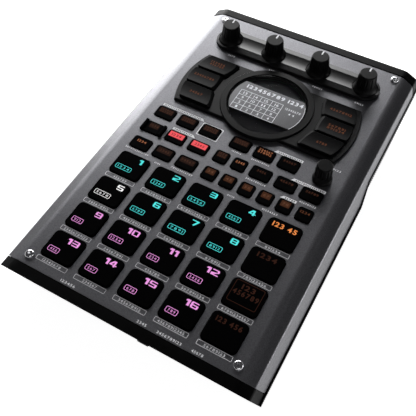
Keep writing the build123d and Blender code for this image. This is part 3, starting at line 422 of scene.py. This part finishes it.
class Print:
    """Collects flat shapes at one height over the plate and makes one mesh of them."""

    def __init__(self, height):
        self.height = height
        self.mesh = bmesh.new()

    def point(self, x, y):
        return self.mesh.verts.new(plate @ (Vector((x, y, self.height + print_gap)) * MM))

    def fill(self, loop):
        self.mesh.faces.new([self.point(x, y) for x, y in loop])

    def outline(self, x0, x1, y0, y1, radius, width):
        outer = [self.point(*p) for p in rounded_loop(x0, x1, y0, y1, radius)]
        inner_radius = max(radius - width, 0.01)
        inner = [self.point(*p) for p in rounded_loop(x0 + width, x1 - width, y0 + width,
                                                      y1 - width, inner_radius)]
        for k in range(len(outer)):
            j = (k + 1) % len(outer)
            self.mesh.faces.new([outer[k], outer[j], inner[j], inner[k]])

    def line(self, words, x0, x1, y, height, weight=0.02, steps=2, gap=0.22):
        """Numerals stretched to fill x0 to x1, height tall, centred on y."""
        shapes, at = [], 0.0
        for character in words:
            if character == " ":
                at += word_space
                continue
            points, faces, width = numeral(character, weight, steps)
            shapes.append((at, points, faces))
            at += width + gap
        stretch = (x1 - x0) / (at - gap)
        for start, points, faces in shapes:
            corners = [self.point(x0 + stretch * (start + px), y + height * (py - 0.5))
                       for px, py in points]
            for face in faces:
                self.mesh.faces.new([corners[k] for k in face])

    def wide_number(self, number, right, y, height):
        """Heavy square numerals, wider than tall, that end at right and are centred on y."""
        for character in reversed(number):
            wide = numeral_wide * (numeral_slim if character == "1" else 1)
            for shape in square_numerals(character):
                self.fill([(right - wide + wide * px, y + height * (py - 0.5)) for px, py in shape])
            right -= wide + numeral_space

    def label(self, x0, x1, y, height, first=1, weight=0.02):
        """As many numerals as a word of this length and height has letters."""
        amount = max(1, round((x1 - x0) / (letter_share * height)))
        self.line(count_up(first, amount), x0, x1, y, height, weight)

    def make(self, name, material, body, onto=None):
        """onto names the node that the shapes are laid on, where its top is curved."""
        if onto:
            ground = nodes[onto].data
            tree = BVHTree.FromPolygons([v.co for v in ground.vertices],
                                        [p.vertices for p in ground.polygons])
            for vertex in self.mesh.verts:
                hit = tree.ray_cast(vertex.co + 5 * MM * plate_up, -plate_up)[0]
                if hit:
                    vertex.co = hit + print_gap * MM * plate_up
        mesh = bpy.data.meshes.new(name)
        bmesh.ops.recalc_face_normals(self.mesh, faces=self.mesh.faces)
        for face in self.mesh.faces:
            if face.normal.dot(plate_up) < 0:
                face.normal_flip()
        self.mesh.to_mesh(mesh)
        self.mesh.free()
        mesh.materials.append(material)
        obj = bpy.data.objects.new(name, mesh)
        bpy.context.scene.collection.objects.link(obj)
        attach(obj, body)


# ------------------------------------------------------------------ pads
def pad_place(number):
    column, row = (number - 1) % 4, (number - 1) // 4
    return pad_pitch[0] * (column - 2), first_pad_y + pad_pitch[1] * (3 - row)


def pad_color(number):
    if number == 5:
        return "white"
    return "cyan" if number <= 8 else "pink"


def pad_tag_width(number):
    """The small outlined tag is wider on some pads."""
    if number <= 8:
        return 11.6 if number % 2 else 9.8
    return 9.7 if number in (10, 12) else 7.7


def make_pad_legends(materials):
    for number in range(1, 17):
        x, y = pad_place(number)
        legend = Print(pad_top)
        legend.wide_number(str(number), x + (6.8 if number == 1 else 7.8), y + 5.3, 4.0)
        left, width = x - 8.2, pad_tag_width(number)
        legend.outline(left, left + width, y - 5.6, y - 1.9, 0.9, 0.32)
        legend.line(count_up(number, 4 if width > 9 else 3), left + 1.5, left + width - 1.5,
                    y - 3.75, 1.8, weight=0.0, gap=0.34)
        legend.make(f"pad_legend_{number:02d}", materials[pad_color(number)],
                    f"pad_{number:02d}")


def make_function_legends(materials):
    x = 2 * pad_pitch[0]
    for number in range(1, 5):
        y = first_pad_y + pad_pitch[1] * (4 - number)
        legend = Print(pad_top)
        if number == 1:
            legend.line("123 45", x - 7.9, x + 8.1, y + 5.0, 3.5, weight=0.04, steps=3)
        elif number == 2:
            legend.line("1234", x - 6.4, x + 6.2, y + 5.0, 3.4, weight=0.04, steps=3)
        elif number == 3:
            legend.outline(x - 9.0, x + 9.2, y - 6.2, y + 8.4, 1.0, 0.35)
            legend.line("123", x - 4.3, x + 4.1, y + 5.2, 3.3, weight=0.04, steps=3)
            legend.line("456789", x - 8.0, x + 8.2, y + 0.9, 3.3, weight=0.04, steps=3)
        else:
            legend.line("123 456", x - 8.0, x + 8.2, y + 5.2, 3.2, weight=0.04, steps=3)
        legend.make(f"function_legend_{number}", materials["orange" if number == 1 else "dim"],
                    f"function_pad_{number}")


# ------------------------------------------------------------------ keys
# body, row, then each key as (x, half width of its window, half width of its legend, lines,
# legend material); a window of None has no faint glow behind its legend
key_legends = [
    ("keys_top_left", row_top, [(wide_x[0], 5.3, 4.6, 2, "faint"),
                                (wide_x[1], 5.3, 4.4, 2, "faint"),
                                (wide_x[2], 5.3, 4.6, 2, "faint")]),
    ("keys_top_right", row_top, [(top_right_x[0], 5.3, 4.4, 2, "faint"),
                                 (top_right_x[1], None, 4.9, 2, "amber"),
                                 (top_right_x[2], None, 4.4, 1, "faint")]),
    ("key_guarded", row_middle, [(wide_x[0], 3.6, 3.2, 1, "faint")]),
    ("keys_middle_right", row_middle, [(narrow_x[0], 3.3, 2.8, 2, "faint"),
                                       (narrow_x[1], None, 3.2, 1, "amber"),
                                       (middle_right_x[0], None, 3.2, 1, "faint"),
                                       (middle_right_x[1], None, 4.6, 1, "faint"),
                                       (middle_right_x[2], None, 4.2, 1, "faint")]),
    ("keys_bottom_left", row_bottom, [(wide_x[0], None, 3.3, 1, "amber"),
                                      (wide_x[1], 5.3, 3.6, 1, "faint"),
                                      (wide_x[2], 5.3, 4.8, 1, "faint")]),
    ("keys_bottom_right", row_bottom, [(narrow_x[5], None, 3.2, 1, "ember")]),
]


def make_key_legends(materials):
    for body, y, keys in key_legends:
        for count, (x, window_half, half, lines, kind) in enumerate(keys, start=1):
            lift = 0.0
            if window_half:
                window = Print(key_top)
                window.fill(rounded_loop(x - window_half, x + window_half, y - 0.9, y + 3.6, 0.5))
                window.make(f"{body}_window_{count}", materials["window"], body)
                lift = print_gap
            legend = Print(key_top + lift)
            if lines == 2:
                legend.label(x - half, x + half, y + 2.4, 1.7, count)
                legend.label(x - half, x + half, y + 0.3, 1.7, count + 4)
            else:
                legend.label(x - half, x + half, y + 1.4, 1.9, count)
            legend.make(f"{body}_legend_{count}", materials[kind], body)


def make_lit_keys(materials):
    """Keys whose whole window is lit: two red record keys and five bank keys."""
    places = [("keys_record", x, row_middle, 5.5, "red", "red_dark") for x in wide_x[1:]]
    places += [("keys_bottom_right", x, row_bottom, 3.1, "brown", "bronze") for x in narrow_x[:5]]
    for count, (body, x, y, half, kind, dark) in enumerate(places, start=1):
        window = Print(key_top)
        window.fill(rounded_loop(x - half, x + half, y - 0.9, y + 3.7, 0.4))
        window.make(f"key_window_{count}", materials[kind], body)
        legend = Print(key_top + print_gap)
        legend.label(x - 0.65 * half, x + 0.65 * half, y + 1.4, 2.0, count)
        legend.make(f"key_window_mark_{count}", materials[dark], body)


# ------------------------------------------------------------------ prints on the faceplate
def slanted(x0, x1, y0, y1, side):
    """A flag whose left (-1) or right (+1) end slants, longer at the bottom."""
    slant = 2.0
    if side > 0:
        return [(x0, y0), (x1 + slant, y0), (x1, y1), (x0, y1)]
    return [(x0 - slant, y0), (x1, y0), (x1, y1), (x0, y1)]


flags = [(-65.0, -33.4, 142.5, 144.7, 1), (24.4, 43.4, 141.7, 144.0, -1),
         (-47.3, -31.6, 126.2, 128.4, 1), (44.0, 66.2, 125.6, 127.9, -1),
         (43.8, 53.0, 110.0, 112.2, -1)]
words = [(-2.5, 4.5, 129.2, 1.2), (12.0, 25.0, 129.2, 1.3), (16.0, 30.2, 113.3, 1.4),
         (54.0, 65.2, 113.1, 1.4), (-67.0, -49.2, 98.3, 1.4), (-42.5, -38.2, 95.6, 1.2),
         (-31.0, -15.0, 97.7, 1.5), (12.0, 17.0, 95.6, 1.2), (36.0, 46.8, 96.6, 1.4),
         (-43.5, -33.5, -4.6, 1.7), (9.0, 15.2, -4.6, 1.7), (22.0, 37.6, -4.6, 1.7),
         (44.0, 51.2, -4.6, 1.7), (-49.0, -43.5, 211.0, 1.5), (-15.0, -9.8, 211.2, 1.5),
         (20.0, 27.6, 210.8, 1.5), (52.6, 59.2, 210.4, 1.5), (62.5, 68.2, 147.2, 1.5)]
label_drop = 11.75             # from a pad's middle to the label in front of it
label_half = (10.9, 1.6)       # half the frame round that label
pad_label_half = (6.6, 8.6, 7.4, 5.0)   # half lengths of the labels in front of the pads


def make_plate_prints(materials):
    light, dim, dark = Print(0.0), Print(0.0), Print(print_gap)
    for column in range(5):
        for row in range(4):
            x = pad_pitch[0] * (column - 2)
            y = first_pad_y + pad_pitch[1] * row - label_drop
            dim.outline(x - label_half[0], x + label_half[0], y - label_half[1], y + label_half[1],
                        0.6, 0.3)
            half = pad_label_half[(3 * column + row) % 4]
            dim.label(x - half, x + half, y, 1.75, column + row + 1, weight=0.03)
    for count, (x0, x1, y0, y1, side) in enumerate(flags):
        light.fill(slanted(x0, x1, y0, y1, side))
        dark.label(x0 + 1.2, x1 - 1.0, (y0 + y1) / 2, 1.4, count + 1, weight=0.03)
    for count, (x0, x1, y, height) in enumerate(words):
        light.label(x0, x1, y, height, count + 1, weight=0.03)
    light.outline(-31.2, -15.3, 130.2, 142.2, 0.8, 0.75)
    light.make("plate_flags", materials["print"], "housing")
    dim.make("plate_words", materials["print_dim"], "housing")
    dark.make("plate_flag_words", materials["print_dark"], "housing")


# ------------------------------------------------------------------ effect keys
# body, lines, x of the middle, y of the middle, half width
effect_legends = [
    ("effect_key_left_1", 2, -48.9, 193.6, 5.6), ("effect_key_left_2", 1, -51.4, 178.0, 8.0),
    ("effect_key_left_3", 1, -48.4, 161.0, 5.0), ("effect_key_right_1", 1, 48.8, 193.0, 8.0),
    ("effect_key_right_2", 2, 51.8, 177.2, 6.2), ("effect_key_right_3", 1, 48.2, 160.6, 3.6),
]


def make_effect_legends(materials):
    for count, (body, lines, x, y, half) in enumerate(effect_legends, start=1):
        legend = Print(effect_top)
        offsets = (1.3, -1.3) if lines == 2 else (0.0,)
        for line, offset in enumerate(offsets):
            legend.label(x - half, x + half, y + offset, 2.1, count + 3 * line, weight=0.03)
        legend.make(f"{body}_legend", materials["ember"], body, onto=body)


# ------------------------------------------------------------------ display
def make_display(materials):
    lit_area = Print(screen_top)
    loop = []
    for side in (1, -1):
        for k in range(13):
            y = side * screen_half * (2 * k / 12 - 1)
            x = math.sqrt(glass_radius**2 - y**2)
            loop.append((side * x, display_y + y))
    lit_area.fill(loop)
    lit_area.make("display_lit_area", materials["display_lit"], "housing")

    lines = Print(screen_top + print_gap)
    left, right, bottom, top = -22.4, 10.5, 162.9, 181.9
    width = 0.38
    for k in range(5):
        x = left + (right - left) * k / 4
        y = bottom + (top - bottom) * k / 4
        lines.fill(box_loop(x - width / 2, x + width / 2, bottom, top))
        lines.fill(box_loop(left, right, y - width / 2, y + width / 2))
    for row in range(4):
        for column in range(4):
            x = left + (right - left) * (column + 0.5) / 4
            y = bottom + (top - bottom) * (row + 0.5) / 4
            number = str(4 * row + column + 1)
            half = 0.75 * len(number)
            lines.line(number, x - half, x + half, y, 2.4)
    lines.line("123456789 1234", -20.5, 23.5, 187.0, 3.4, weight=0.05, steps=3)
    lines.line("12345678", 13.0, 24.6, 179.6, 2.0)
    lines.line("4 4", 17.0, 21.4, 175.8, 2.0)
    # A painted highlight: a thin bright arc on the right of the glass edge, standing in for the
    # glass catching the display's light. It is drawn in the display's line colour.
    painted_glint_arc = [math.radians(-31 + 52 * k / 16) for k in range(17)]
    painted_glint_width = 0.35
    outer, inner = ([(radius * math.cos(a), display_y + radius * math.sin(a)) for a in painted_glint_arc]
                    for radius in (glass_radius, glass_radius - painted_glint_width))
    for k in range(16):
        lines.fill([inner[k], outer[k], outer[k + 1], inner[k + 1]])
    lines.make("display_lines", materials["display_line"], "housing")


# ------------------------------------------------------------------ knobs
def make_knob_pointers(materials):
    for number, x in enumerate(knob_x, start=1):
        pointer = Print(knob_top)
        pointer.fill(box_loop(x - 0.55, x + 0.55, knob_y + 1.9, knob_y + 5.6))
        pointer.make(f"knob_pointer_{number}", materials["pointer"], f"control_knob_{number}")


# ------------------------------------------------------------------ floor and light
# name, place, target, width, height, radiance: a softbox that stands low behind the left rear
# corner, a weak fill from the front right, and a thin strip low at the right
lamps = [
    ("softbox", (-0.67, 0.99, 0.48), (0, 0.03, 0.04), 1.37, 0.98, 6.2),
    ("fill", (0.55, -0.75, 1.05), (0, 0, 0.04), 0.8, 0.8, 1.3),
    ("rim", (1.1, 0.50, 0.12), (0, 0.0, 0.05), 0.5, 0.16, 9.0),
]
floor_half = 6.0
floor_glow = 0.9               # what the floor gives off by itself; metal and glass show it too


def make_floor():
    mesh = bpy.data.meshes.new("floor")
    corners = [(x * floor_half, y * floor_half, 0) for x, y in ((-1, -1), (1, -1), (1, 1), (-1, 1))]
    mesh.from_pydata(corners, [], [(0, 1, 2, 3)])
    floor = bpy.data.objects.new("floor", mesh)
    bpy.context.scene.collection.objects.link(floor)
    material, tree, shader = new_material("floor")
    shader.inputs["Base Color"].default_value = (0.75, 0.75, 0.75, 1)
    shader.inputs["Roughness"].default_value = 0.9
    shader.inputs["Specular IOR Level"].default_value = 0.0
    paths = tree.nodes.new("ShaderNodeLightPath").outputs
    seen = math_node(tree, "MAXIMUM", paths["Is Camera Ray"], paths["Is Transmission Ray"])
    seen = math_node(tree, "MAXIMUM", seen, paths["Is Glossy Ray"])
    shader.inputs["Emission Color"].default_value = (1, 1, 1, 1)
    glow = math_node(tree, "MULTIPLY", seen, floor_glow)
    tree.links.new(glow, shader.inputs["Emission Strength"])
    mesh.materials.append(material)


def area_light(name, place, target, width, height, radiance):
    data = bpy.data.lights.new(name, "AREA")
    data.shape = "RECTANGLE"
    data.size = width
    data.size_y = height
    data.energy = radiance * math.pi * width * height
    light = bpy.data.objects.new(name, data)
    light.location = place
    light.rotation_euler = (Vector(target) - Vector(place)).to_track_quat("-Z", "Y").to_euler()
    bpy.context.scene.collection.objects.link(light)


def make_lights():
    """The lamps, and a dark studio over a pale horizon."""
    for lamp in lamps:
        area_light(*lamp)
    world = bpy.data.worlds.new("studio")
    bpy.context.scene.world = world
    world.use_nodes = True
    tree = world.node_tree
    background = tree.nodes["Background"]
    place = tree.nodes.new("ShaderNodeTexCoord")
    split = tree.nodes.new("ShaderNodeSeparateXYZ")
    tree.links.new(place.outputs["Generated"], split.inputs["Vector"])
    tree.links.new(ramp(tree, split.outputs["Z"], (0.7, 0.7, 0.7), (0.04, 0.04, 0.042),
                        0.02, 0.13), background.inputs["Color"])


# ------------------------------------------------------------------ the scene
bpy.context.scene.view_settings.view_transform = "Standard"
make_camera()
materials = make_materials()
dress_nodes(materials)
make_pad_legends(materials)
make_function_legends(materials)
make_key_legends(materials)
make_lit_keys(materials)
make_plate_prints(materials)
make_effect_legends(materials)
make_display(materials)
make_knob_pointers(materials)
make_floor()
make_lights()
